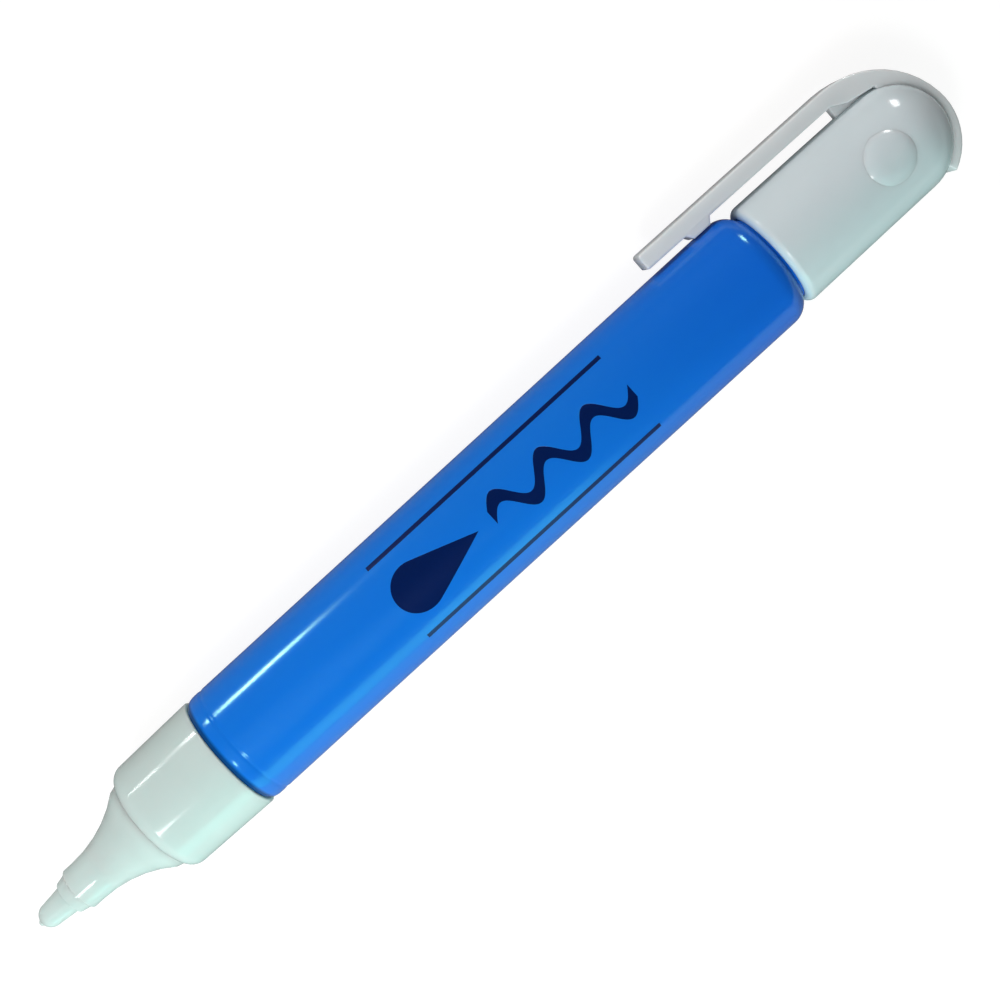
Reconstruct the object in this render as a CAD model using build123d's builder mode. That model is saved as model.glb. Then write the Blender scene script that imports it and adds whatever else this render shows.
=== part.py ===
# Correction pen lying on its side, tip towards -X, posted cap towards +X, clip towards +Y.
# All sizes in millimetres. Stations along the pen are counted from the barrel's front edge.

import os
from math import cos, dist, pi, radians, sin, sqrt

from build123d import *

os.makedirs("parts", exist_ok=True)

# Clearances
fit_gap = 0.03  # radial gap of pieces that are pressed together
run_gap = 0.08  # radial gap round the sliding pin
post_gap = 0.10  # radial gap of the cap on the barrel's neck
seat_gap = 0.20  # cap mouth to the foot of the neck
stop_gap = 0.05  # needle stop to the rear of the tip
coil_gap = 0.05  # spring to the faces that hold it
bead_gap = 0.10  # clip bead to the barrel
clip_gap = 0.70  # clip arm to the barrel, at the clip's root
flange_gap = 0.12  # cone flange to the bore of the closed cap
liner_gap = 0.60  # liner to the end of the neck
lid_gap = 0.20  # liner to the bottom of the cap
ball_gap = 0.10  # mixing ball to the barrel wall

# Barrel
barrel_d = 14.2
barrel_len = 79.3
barrel_wall = 1.0
barrel_draft = 0.05
front_round = 0.65
shoulder_round = 2.6
groove_x = 0.95
groove_w = 0.4
groove_depth = 0.12
neck_step = 1.55
neck_len = 8.0
neck_wall = 1.0
neck_round = 0.6

# Nose collar
collar_len = 11.4
collar_draft = 0.2
collar_wall = 1.95
collar_round = 1.3
collar_edge = 0.2
spigot_len = 7.0
spigot_wall = 1.1
web_t = 1.0

# Nozzle cone
flange_t = 1.05
flange_lip = 0.1
cone_mouth_d = 5.2
cone_len = 10.8
mouth_land = 1.3
shank_len = 6.3
shank_wall = 1.17
throat_d = 4.2
throat_len = 1.7
throat_taper = 3.0
socket_d = 3.0
socket_depth = 3.7

# Nozzle tip
tip_base_d = 4.7
tip_step_d = 4.05
tip_base_len = 1.4
nib_d = 3.4
nib_end_d = 2.8
nib_len = 4.15
tip_bore_d = 1.6
orifice_len = 1.9
orifice_taper = 0.6

# Needle, spring, cage and gasket
pin_d = 0.8
pin_proud = 0.2
pin_tail = 1.5
stop_d = 3.5
stop_len = 1.3
wire_d = 0.32
coil_d = 3.0
coil_turns = 7
cage_len = 3.1
cage_hole_d = 1.0
cage_holes = 4
hole_margin = 0.3
gasket_t = 0.6
gasket_band = 1.8

# Mixing ball
ball_d = 5.0
ball_x = 42.0

# Cap
cap_wall = 0.95
cap_draft = 0.15
cap_len = 18.6
cap_mouth_round = 0.9
dome_flat = 0.35
dome_ease = 0.95
pad_d = 6.0
pad_height = 0.3
pad_back = 3.35
liner_wall = 0.7
liner_len = 9.55
liner_end = 0.8
liner_flange_t = 1.2
socket_bore_d = 6.0
seal_t = 0.7

# Clip and crest
clip_w = 4.0
clip_t = 1.9
clip_len = 26.2
clip_rise = 0.25
clip_edge = 0.25
root_back = 3.3
bead_back = 7.1
bead_top = 3.4
bead_foot = 2.25
crest_height = 0.7
crest_reach = 64.0  # degrees past the pen's axis
rib_w = 1.6
gusset_len = 1.6
strap_gap = 0.45
strap_run = 1.7
strap_sink = 0.2

# Radii and stations that follow from the sizes
barrel_r = barrel_d / 2
barrel_front_r = barrel_r - barrel_draft
bore_r = barrel_r - barrel_wall
neck_r = barrel_r - neck_step
shoulder_x = barrel_len - shoulder_round
shoulder_y = barrel_r - shoulder_round
neck_lift = max(0.0, neck_r - shoulder_y)
neck_foot_x = shoulder_x + sqrt(shoulder_round**2 - neck_lift**2)
neck_end_x = neck_foot_x + neck_len

collar_x = -collar_len
spigot_r = bore_r - fit_gap
collar_rear_r = barrel_r
collar_front_r = collar_rear_r - collar_draft
collar_bore_r = collar_front_r - collar_wall
shank_r = collar_bore_r - fit_gap
chamber_r = shank_r - shank_wall
web_hole_r = collar_bore_r - gasket_band
cage_ring_r = web_hole_r - hole_margin - cage_hole_d / 2
shank_end_x = collar_x + shank_len
web_x = shank_end_x + gasket_t

cone_end_x = collar_x - cone_len
throat_x = cone_end_x + socket_depth
cage_x = shank_end_x - cage_len
tip_end_x = cone_end_x - tip_base_len - nib_len
pin_front_x = tip_end_x - pin_proud
pin_rear_x = shank_end_x + pin_tail
stop_x = throat_x + stop_gap
spring_x0 = stop_x + stop_len + coil_gap + wire_d / 2
spring_x1 = cage_x - coil_gap - wire_d / 2

cap_x = neck_foot_x + seat_gap
cap_bore_r = neck_r + post_gap
mouth_r = cap_bore_r + cap_wall
dome_x = cap_x + cap_len
dome_r = mouth_r - cap_draft
dome_depth = dome_r - dome_flat
dome_swell = dome_ease - dome_flat
dome_back = (dome_ease**2 - dome_swell**2) / (2 * dome_swell)
dome_end_r = dome_depth + dome_back
dome_mid_x = dome_x - dome_back
dome_lean = sqrt(dome_back**2 + dome_ease**2)
dome_turn = (dome_mid_x + dome_end_r * dome_back / dome_lean, dome_end_r * dome_ease / dome_lean)
flange_r = cap_bore_r - flange_gap
cone_base_r = flange_r - flange_lip
liner_x = neck_end_x + liner_gap
liner_end_x = liner_x + liner_len
seal_x = liner_end_x - liner_end - seal_t
cavity_x = liner_end_x + lid_gap

root_x = dome_x - root_back
clip_in = barrel_r + clip_gap
clip_out = clip_in + clip_t
clip_end_x = root_x - clip_len
bead_x = clip_end_x + bead_back
bead_y = barrel_r + bead_gap

# The crest's lower arc is concentric with the dome's end, its upper arc runs tangent into the clip
crest_r = dome_end_r + crest_height
crest_back = dome_mid_x - root_x
crest_top_r = (crest_back**2 + clip_out**2 - crest_r**2) / (2 * (clip_out - crest_r))
crest_top_y = clip_out - crest_top_r
crest_span = sqrt(crest_back**2 + crest_top_y**2)
crest_meet = (dome_mid_x + crest_r * crest_back / crest_span, -crest_r * crest_top_y / crest_span)
strap_x = dome_x + strap_run
strap_y = dome_r - strap_sink

# The pen's axis lies so that the origin is under the middle of the whole pen
pen_front_x = -(pin_front_x + dome_mid_x + crest_r) / 2
pen_y = -(clip_out + clip_rise - barrel_r) / 2
pen_origin = (pen_front_x, pen_y, barrel_r)
pen = Plane(origin=pen_origin, x_dir=(1, 0, 0), z_dir=(0, 0, 1))
pen_axis = Axis(pen_origin, (1, 0, 0))


def across(station):
    """Plane square to the pen's axis at a station, facing the cap."""
    return Plane(origin=(pen_front_x + station, pen_y, barrel_r), x_dir=(0, 1, 0), z_dir=(1, 0, 0))


# Barrel: squeeze bottle with a round shoulder and a closed neck
with BuildPart() as barrel:
    with BuildSketch(pen):
        with BuildLine():
            Polyline((shoulder_x, barrel_r), (front_round, barrel_front_r))
            ThreePointArc(
                (front_round, barrel_front_r),
                (front_round * (1 - sin(pi / 4)), barrel_front_r - front_round * (1 - cos(pi / 4))),
                (0, barrel_front_r - front_round),
            )
            Polyline((0, barrel_front_r - front_round), (0, 0), (barrel_len, 0), (barrel_len, shoulder_y))
            ThreePointArc(
                (barrel_len, shoulder_y),
                (shoulder_x + shoulder_round * cos(pi / 4), shoulder_y + shoulder_round * sin(pi / 4)),
                (shoulder_x, barrel_r),
            )
        make_face()
    revolve(axis=pen_axis)
    with BuildSketch(pen):
        with BuildLine():
            Polyline((shoulder_x, 0), (neck_end_x, 0), (neck_end_x, neck_r - neck_round))
            ThreePointArc(
                (neck_end_x, neck_r - neck_round),
                (neck_end_x - neck_round * (1 - cos(pi / 4)), neck_r - neck_round * (1 - sin(pi / 4))),
                (neck_end_x - neck_round, neck_r),
            )
            Polyline((neck_end_x - neck_round, neck_r), (shoulder_x, neck_r), (shoulder_x, 0))
        make_face()
    revolve(axis=pen_axis)
    with BuildSketch(pen):
        with BuildLine():
            Polyline((shoulder_x, bore_r), (0, bore_r), (0, 0), (barrel_len - barrel_wall, 0))
            Line((barrel_len - barrel_wall, 0), (barrel_len - barrel_wall, shoulder_y))
            ThreePointArc(
                (barrel_len - barrel_wall, shoulder_y),
                (
                    shoulder_x + (shoulder_round - barrel_wall) * cos(pi / 4),
                    shoulder_y + (shoulder_round - barrel_wall) * sin(pi / 4),
                ),
                (shoulder_x, bore_r),
            )
        make_face()
    revolve(axis=pen_axis, mode=Mode.SUBTRACT)
    with BuildSketch(across(shoulder_x)):
        Circle(neck_r - neck_wall)
    extrude(amount=neck_end_x - neck_wall - shoulder_x, mode=Mode.SUBTRACT)
    with BuildSketch(across(groove_x - groove_w / 2)):
        Circle(barrel_r + groove_depth)
        Circle(barrel_front_r - groove_depth, mode=Mode.SUBTRACT)
    extrude(amount=groove_w, mode=Mode.SUBTRACT)

# Nose collar: tapered ring with a spigot in the barrel and a web behind the cone
with BuildPart() as nose_collar:
    with BuildSketch(pen):
        with BuildLine():
            Polyline(
                (collar_x, 0),
                (spigot_len, 0),
                (spigot_len, spigot_r),
                (0, spigot_r),
                (0, collar_rear_r - collar_edge),
                (-collar_edge, collar_rear_r),
                (collar_x + collar_round, collar_front_r),
            )
            ThreePointArc(
                (collar_x + collar_round, collar_front_r),
                (
                    collar_x + collar_round * (1 - sin(pi / 4)),
                    collar_front_r - collar_round * (1 - cos(pi / 4)),
                ),
                (collar_x, collar_front_r - collar_round),
            )
            Line((collar_x, collar_front_r - collar_round), (collar_x, 0))
        make_face()
    revolve(axis=pen_axis)
    with BuildSketch(across(collar_x)):
        Circle(collar_bore_r)
    extrude(amount=web_x - collar_x, mode=Mode.SUBTRACT)
    with BuildSketch(across(web_x)):
        Circle(web_hole_r)
    extrude(amount=web_t, mode=Mode.SUBTRACT)
    with BuildSketch(across(web_x + web_t)):
        Circle(spigot_r - spigot_wall)
    extrude(amount=spigot_len - web_x - web_t, mode=Mode.SUBTRACT)

# Nozzle cone: flared nozzle with a flange on the collar and a shank inside it
with BuildPart() as nozzle_cone:
    with BuildSketch(pen):
        with BuildLine():
            flare_x = collar_x - flange_t
            land_x = cone_end_x + mouth_land
            mouth_half = cone_mouth_d / 2
            Polyline(
                (cone_end_x, 0),
                (shank_end_x, 0),
                (shank_end_x, shank_r),
                (collar_x, shank_r),
                (collar_x, flange_r),
                (flare_x, flange_r),
                (flare_x, cone_base_r),
            )
            TangentArc((land_x, mouth_half), (flare_x, cone_base_r), tangent=(1, 0))
            Polyline((land_x, mouth_half), (cone_end_x, mouth_half), (cone_end_x, 0))
        make_face()
    revolve(axis=pen_axis)
    with BuildSketch(pen):
        with BuildLine():
            throat_end_x = throat_x + throat_len
            Polyline(
                (cone_end_x, 0),
                (cone_end_x, socket_d / 2),
                (throat_x, socket_d / 2),
                (throat_x, throat_d / 2),
                (throat_end_x, throat_d / 2),
                (throat_end_x + throat_taper, chamber_r),
                (shank_end_x, chamber_r),
                (shank_end_x, 0),
                (cone_end_x, 0),
            )
        make_face()
    revolve(axis=pen_axis, mode=Mode.SUBTRACT)

# Nozzle tip: stepped tip with a round end, bored for the pin
with BuildPart() as nozzle_tip:
    with BuildSketch(pen):
        with BuildLine():
            step_x = cone_end_x - tip_base_len
            nib_r = nib_end_d / 2
            Polyline(
                (tip_end_x, 0),
                (throat_x, 0),
                (throat_x, socket_d / 2 - fit_gap),
                (cone_end_x, socket_d / 2 - fit_gap),
                (cone_end_x, tip_base_d / 2),
                (step_x, tip_step_d / 2),
                (step_x, nib_d / 2),
                (tip_end_x + nib_r, nib_r),
            )
            ThreePointArc(
                (tip_end_x + nib_r, nib_r),
                (tip_end_x + nib_r * (1 - sin(pi / 4)), nib_r * cos(pi / 4)),
                (tip_end_x, 0),
            )
        make_face()
    revolve(axis=pen_axis)
    with BuildSketch(pen):
        with BuildLine():
            orifice_r = pin_d / 2 + run_gap
            Polyline(
                (tip_end_x, 0),
                (tip_end_x, orifice_r),
                (tip_end_x + orifice_len, orifice_r),
                (tip_end_x + orifice_len + orifice_taper, tip_bore_d / 2),
                (throat_x, tip_bore_d / 2),
                (throat_x, 0),
                (tip_end_x, 0),
            )
        make_face()
    revolve(axis=pen_axis, mode=Mode.SUBTRACT)

# Needle pin: round-ended steel wire
with BuildPart() as needle_pin:
    with BuildSketch(pen):
        with BuildLine():
            pin_r = pin_d / 2
            Polyline((pin_front_x, 0), (pin_rear_x, 0), (pin_rear_x, pin_r), (pin_front_x + pin_r, pin_r))
            ThreePointArc(
                (pin_front_x + pin_r, pin_r),
                (pin_front_x + pin_r * (1 - sin(pi / 4)), pin_r * cos(pi / 4)),
                (pin_front_x, 0),
            )
        make_face()
    revolve(axis=pen_axis)

# Needle stop: collar on the pin that closes the rear of the tip
with BuildPart() as needle_stop:
    with BuildSketch(across(stop_x)):
        Circle(stop_d / 2)
        Circle(pin_d / 2 + fit_gap, mode=Mode.SUBTRACT)
    extrude(amount=stop_len)

# Needle spring: one tube along quarter-turn biarcs
coil_r = coil_d / 2
coil_lead = (spring_x1 - spring_x0) / (2 * pi * coil_turns)
coil_points = []
for quarter in range(coil_turns * 4 + 1):
    turn = quarter * pi / 2
    place = Vector(spring_x0 + coil_lead * turn, coil_r * cos(turn), coil_r * sin(turn)) + Vector(*pen_origin)
    way = Vector(coil_lead, -coil_r * sin(turn), coil_r * cos(turn)).normalized()
    coil_points.append((place, way))

with BuildPart() as needle_spring:
    with BuildLine() as coil:
        for (start, start_way), (end, end_way) in zip(coil_points, coil_points[1:]):
            chord = end - start
            ways = start_way + end_way
            bend = 2 * (1 - start_way.dot(end_way))
            reach = (sqrt(chord.dot(ways) ** 2 + bend * chord.dot(chord)) - chord.dot(ways)) / bend
            first_corner = start + start_way * reach
            second_corner = end - end_way * reach
            middle = (first_corner + second_corner) * 0.5
            TangentArc(start, middle, tangent=start_way)
            TangentArc(middle, end, tangent=second_corner - first_corner)
    with BuildSketch(Plane(origin=coil_points[0][0], z_dir=coil_points[0][1])):
        Circle(wire_d / 2)
    sweep(path=coil.wires()[0])

coil_samples = [tuple(coil.wires()[0] @ (i / (coil_turns * 24))) for i in range(coil_turns * 24 + 1)]
coil_clear = min(dist(a, b) for i, a in enumerate(coil_samples) for b in coil_samples[i + 12 :])
print(f"needle spring: least gap to itself {coil_clear - wire_d:.2f} mm")

# Valve cage: disc that guides the pin, backs the spring and lets fluid through
with BuildPart() as valve_cage:
    with BuildSketch(across(cage_x)):
        Circle(chamber_r - fit_gap)
        Circle(pin_d / 2 + run_gap, mode=Mode.SUBTRACT)
        with PolarLocations(cage_ring_r, cage_holes):
            Circle(cage_hole_d / 2, mode=Mode.SUBTRACT)
    extrude(amount=cage_len)

# Cone gasket: ring between the cone's shank and the collar's web
with BuildPart() as cone_gasket:
    with BuildSketch(across(shank_end_x)):
        Circle(collar_bore_r - fit_gap)
        Circle(web_hole_r, mode=Mode.SUBTRACT)
    extrude(amount=gasket_t)

# Mixing ball: lies loose on the barrel wall
with BuildPart() as mixing_ball:
    with Locations((pen_front_x + ball_x, pen_y, barrel_wall + ball_gap + ball_d / 2)):
        Sphere(ball_d / 2)

# Low round pads: a skin over the cap's outside, cut to a round plug from side to side
pad_x = dome_x - pad_back
skin_x = pad_x - pad_d
skin_r = mouth_r - cap_draft * (skin_x - cap_x) / cap_len + pad_height
pad_r = dome_r + pad_height
with BuildPart() as cap_pads:
    with BuildSketch(pen):
        with BuildLine():
            Polyline((dome_x, 0), (skin_x, 0), (skin_x, skin_r), (dome_x, pad_r), (dome_x, 0))
        make_face()
    revolve(axis=pen_axis)
    with BuildSketch(pen):
        with Locations((pad_x, 0)):
            Circle(pad_d / 2)
    extrude(amount=pad_r, both=True, mode=Mode.INTERSECT)

# Cap shell: tapered cap with a round end, a crest over it and the pads
with BuildPart() as cap_shell:
    with BuildSketch(pen):
        with BuildLine():
            Polyline((dome_x + dome_depth, 0), (cap_x, 0), (cap_x, mouth_r - cap_mouth_round))
            ThreePointArc(
                (cap_x, mouth_r - cap_mouth_round),
                (
                    cap_x + cap_mouth_round * (1 - cos(pi / 4)),
                    mouth_r - cap_mouth_round * (1 - sin(pi / 4)),
                ),
                (cap_x + cap_mouth_round, mouth_r),
            )
            Line((cap_x + cap_mouth_round, mouth_r), (dome_x, dome_r))
            TangentArc((dome_x, dome_r), dome_turn, tangent=(1, 0))
            TangentArc(dome_turn, (dome_x + dome_depth, 0), tangent=(dome_ease, -dome_back))
        make_face()
    revolve(axis=pen_axis)
    with BuildSketch(pen):
        with BuildLine():
            reach = radians(crest_reach)
            crest_end = (dome_mid_x + crest_r * cos(reach), -crest_r * sin(reach))
            Line((root_x, clip_in), (root_x, clip_out))
            TangentArc((root_x, clip_out), crest_meet, tangent=(1, 0))
            ThreePointArc(
                crest_meet, (dome_mid_x + crest_r * cos(reach / 2), -crest_r * sin(reach / 2)), crest_end
            )
            Polyline(
                crest_end,
                (dome_mid_x, 0),
                (strap_x, 0),
                (strap_x, strap_y),
                (root_x + gusset_len, dome_r + strap_gap),
                (root_x, clip_in),
            )
        make_face()
    extrude(amount=clip_w / 2, both=True)
    crest_edges = cap_shell.edges().filter_by(GeomType.CIRCLE).filter_by(
        lambda e: min(abs(e.radius - crest_r), abs(e.radius - crest_top_r)) < 1e-4
    )
    fillet(crest_edges, clip_edge)
    with BuildSketch(pen):
        with BuildLine():
            Polyline(
                (root_x, 0),
                (root_x, clip_in + clip_t / 2),
                (strap_x, strap_y + clip_t / 2),
                (strap_x, 0),
                (root_x, 0),
            )
        make_face()
    extrude(amount=rib_w / 2, both=True)
    add(cap_pads.part)
    with BuildSketch(across(cap_x)):
        Circle(cap_bore_r)
    extrude(amount=cavity_x - cap_x, mode=Mode.SUBTRACT)

# Cap liner: flanged cup that takes the nozzle when the cap closes the pen
with BuildPart() as cap_liner:
    with BuildSketch(across(liner_x)):
        Circle(cap_bore_r - fit_gap)
    extrude(amount=liner_flange_t)
    with BuildSketch(across(liner_x)):
        Circle(socket_bore_d / 2 + liner_wall)
    extrude(amount=liner_len)
    with BuildSketch(across(liner_x)):
        Circle(socket_bore_d / 2)
    extrude(amount=liner_len - liner_end, mode=Mode.SUBTRACT)

# Cap seal: soft disc at the bottom of the liner
with BuildPart() as cap_seal:
    with BuildSketch(across(seal_x)):
        Circle(socket_bore_d / 2 - fit_gap)
    extrude(amount=seal_t)

# Clip arm: springy arm from the crest's root, with a bead over the barrel
with BuildPart() as clip_arm:
    bead_half = bead_top / 2
    with BuildSketch(pen):
        with BuildLine():
            Polyline(
                (root_x, clip_in),
                (root_x, clip_out),
                (clip_end_x, clip_out + clip_rise),
                (clip_end_x, clip_in + clip_rise),
                (bead_x - bead_half, clip_in + clip_rise * (root_x - bead_x + bead_half) / clip_len),
                (bead_x - bead_foot / 2, bead_y),
                (bead_x + bead_foot / 2, bead_y),
                (bead_x + bead_half, clip_in + clip_rise * (root_x - bead_x - bead_half) / clip_len),
                (root_x, clip_in),
            )
        make_face()
    extrude(amount=clip_w / 2, both=True)
    outer_face = clip_arm.faces().sort_by(Axis.Y)[-1]
    fillet(outer_face.edges().sort_by(Axis.X)[:-1], clip_edge)

for piece, label in (
    (barrel, "barrel"),
    (nose_collar, "nose_collar"),
    (nozzle_cone, "nozzle_cone"),
    (nozzle_tip, "nozzle_tip"),
    (needle_pin, "needle_pin"),
    (needle_stop, "needle_stop"),
    (needle_spring, "needle_spring"),
    (valve_cage, "valve_cage"),
    (cone_gasket, "cone_gasket"),
    (mixing_ball, "mixing_ball"),
    (cap_shell, "cap_shell"),
    (cap_liner, "cap_liner"),
    (cap_seal, "cap_seal"),
    (clip_arm, "clip_arm"),
):
    piece.part.label = label
    export_step(piece.part, f"parts/{label}.step")
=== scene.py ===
"""Squeeze correction pen with its cap posted: visible pieces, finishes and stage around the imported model."""
from collections import namedtuple
from math import acos, asin, atan, atan2, ceil, cos, degrees, pi, radians, sin, sqrt, tan
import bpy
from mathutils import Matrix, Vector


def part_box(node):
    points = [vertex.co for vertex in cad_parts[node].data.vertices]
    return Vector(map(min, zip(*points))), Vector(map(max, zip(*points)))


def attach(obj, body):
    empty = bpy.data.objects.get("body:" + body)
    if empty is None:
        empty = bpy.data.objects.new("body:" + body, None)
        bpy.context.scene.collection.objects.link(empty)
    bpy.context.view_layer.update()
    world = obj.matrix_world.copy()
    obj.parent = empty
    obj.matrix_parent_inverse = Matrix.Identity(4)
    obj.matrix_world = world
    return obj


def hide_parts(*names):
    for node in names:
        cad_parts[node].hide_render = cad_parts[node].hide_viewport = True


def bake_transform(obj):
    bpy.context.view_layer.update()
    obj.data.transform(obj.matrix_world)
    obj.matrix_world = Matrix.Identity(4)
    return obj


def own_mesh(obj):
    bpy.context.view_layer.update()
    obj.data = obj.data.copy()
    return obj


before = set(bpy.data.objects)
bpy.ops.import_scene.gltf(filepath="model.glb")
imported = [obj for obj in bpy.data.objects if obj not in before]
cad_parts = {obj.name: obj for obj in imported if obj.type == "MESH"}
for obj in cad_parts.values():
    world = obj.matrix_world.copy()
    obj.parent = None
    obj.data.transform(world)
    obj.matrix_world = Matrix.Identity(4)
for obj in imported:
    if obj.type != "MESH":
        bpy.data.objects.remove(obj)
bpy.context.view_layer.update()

from types import SimpleNamespace

import bmesh
import bpy
from bpy.props import FloatProperty, FloatVectorProperty, PointerProperty
from mathutils import Matrix, Vector

bl_info = {
    "name": "Correction pen",
    "version": (1, 0, 0),
    "blender": (4, 5, 0),
    "location": "View3D > Sidebar > Pen",
    "description": "Builds a squeeze correction pen with its cap posted, around the packed model",
    "category": "Add Mesh",
}

MM = 0.001

# Every turned piece is drawn in millimetres, x from the barrel's front edge and radius from the pen's axis.
BARREL_LO, BARREL_HI = (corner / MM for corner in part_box("barrel"))
PEN_FRONT = Vector((BARREL_LO.x, (BARREL_LO.y + BARREL_HI.y) / 2, (BARREL_LO.z + BARREL_HI.z) / 2))
BARREL_RADIUS = (BARREL_HI.y - BARREL_LO.y) / 2
NECK_END = BARREL_HI.x - BARREL_LO.x


def ends(node):
    """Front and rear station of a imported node, in millimetres from the barrel's front edge."""
    lo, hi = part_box(node)
    return lo.x / MM - PEN_FRONT.x, hi.x / MM - PEN_FRONT.x


def reach(node):
    """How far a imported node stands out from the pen's axis towards the clip, in millimetres."""
    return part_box(node)[1].y / MM - PEN_FRONT.y


COLLAR_FRONT, SPIGOT_END = ends("nose_collar")
CONE_FRONT, SHANK_END = ends("nozzle_cone")
TIP_FRONT, TIP_REAR = ends("nozzle_tip")
CAP_MOUTH, CAP_END = ends("cap_shell")
CLIP_FREE, CLIP_ROOT = ends("clip_arm")
LINER_REAR = ends("cap_liner")[1]
SPRING_FRONT, SPRING_REAR = ends("needle_spring")

SPIN_STEPS = 144
ARC_STEP = radians(7.5)
MERGE = 1e-4  # distance at which points count as one
SHARP = radians(32)  # angle from which an edge is shaded sharp
PAD_STEPS = 72  # round the pad's rim
PAD_RINGS = 12
PAD_CROWN = 4  # power of the pad's crown, flat in the middle and steep at the rim
CREST_REACH = 64.0  # degrees that the crest runs past the pen's axis
COIL_TURNS = 7
COIL_STEPS = 36  # in each turn of the needle spring
WIRE_SIDES = 16

Arc = namedtuple("Arc", "x r turn")


# Sizes and colours

def linear(code):
    """Scene-linear colour of an sRGB hex value."""
    parts = (int(code[i:i + 2], 16) / 255 for i in (0, 2, 4))
    return tuple(c / 12.92 if c <= 0.04045 else ((c + 0.055) / 1.055) ** 2.4 for c in parts)


def length(name, size, description):
    """A length property whose default is given in millimetres."""
    return FloatProperty(name=name, description=description, default=size * MM, min=0.0,
                         unit="LENGTH", precision=5)


def colour(name, code, description):
    """A colour property whose default is given as an sRGB hex value."""
    return FloatVectorProperty(name=name, description=description, default=linear(code), size=3,
                               min=0.0, max=1.0, subtype="COLOR")


class PenBarrelSizes(bpy.types.PropertyGroup):
    """Sizes of the squeeze barrel."""
    wall: length("Wall", 1.0, "Thickness of the blow-moulded wall")
    draft: length("Draft", 0.05, "How much slimmer the barrel is at its front than at its shoulder")
    front_drop: length("Front drop", 0.35, "How far the barrel's front edge is rounded inwards")
    front_run: length("Front run", 1.2, "Length over which the barrel's front edge is rounded")
    shoulder_round: length("Shoulder round", 2.6, "Rounding of the shoulder under the cap")
    shoulder_end: length("Shoulder station", 79.3, "Where the shoulder would end if the neck were left out")
    neck_radius: length("Neck radius", BARREL_RADIUS - 1.55, "Radius of the neck that the cap is pushed on")
    neck_round: length("Neck round", 0.6, "Rounding of the neck's closed end")
    neck_wall: length("Neck wall", 1.0, "Thickness of the neck's wall and end")
    groove_station: length("Groove station", 2.1, "Distance of the ring groove behind the front edge")
    groove_width: length("Groove width", 0.7, "Width of the ring groove")
    groove_depth: length("Groove depth", 0.07, "Depth of the ring groove")
    groove_round: length("Groove round", 0.5, "Rounding of the ring groove's edges")


class PenNoseSizes(bpy.types.PropertyGroup):
    """Sizes of the collar, the nozzle cone and the tip."""
    collar_rear: length("Collar rear radius", BARREL_RADIUS, "Radius of the collar where it meets the barrel")
    collar_front: length("Collar front radius", BARREL_RADIUS - 0.22, "Radius of the collar at its front")
    collar_bore: length("Collar bore", 4.95, "Radius of the bore that takes the cone's shank")
    collar_round: length("Collar round", 1.6, "Rounding of the collar's front edge")
    collar_root: length("Collar root radius", 5.75, "Radius where the collar's rounding meets the flange")
    collar_edge: length("Collar edge", 0.2, "Rounding of the collar's rear edge")
    spigot_radius: length("Spigot radius", BARREL_RADIUS - 1.03, "Radius of the spigot inside the barrel")
    spigot_bore: length("Spigot bore", BARREL_RADIUS - 2.13, "Radius of the spigot's bore")
    flange: length("Flange thickness", 1.05, "Thickness of the cone's flange")
    cone_base: length("Cone base radius", 5.45, "Radius of the cone where its flange starts")
    cone_mouth: length("Cone mouth radius", 2.6, "Radius of the cone's straight mouth")
    mouth_land: length("Mouth land", 1.3, "Length of the straight stretch at the cone's mouth")
    tip_base: length("Tip base radius", 2.35, "Radius of the tip where it leaves the cone")
    tip_step: length("Tip step radius", 2.025, "Radius of the tip in front of its tapered base")
    tip_base_length: length("Tip base length", 1.4, "Length of the tip's tapered base")
    tip_plug: length("Tip plug radius", 1.41, "Radius of the cone's hole for the tip's plug")
    socket: length("Socket depth", 4.0, "How deep the cone's hole for the tip's plug is")
    needle_hole: length("Needle hole radius", 0.5, "Radius of the tip's hole for the needle")
    fit: length("Fit", 0.03, "Clearance of the pressed fits")
    nib: length("Nib radius", 1.7, "Radius of the nib behind its taper")
    nib_end: length("Nib end radius", 1.4, "Radius of the nib's ball end")
    edge: length("Edge", 0.12, "Rounding of the small moulded edges")


class PenSpringSizes(bpy.types.PropertyGroup):
    """Sizes of the needle spring."""
    wire: length("Wire", 0.32, "Diameter of the spring's wire")
    coil: length("Coil", 3.0, "Diameter of the coil at the middle of its wire")


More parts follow.
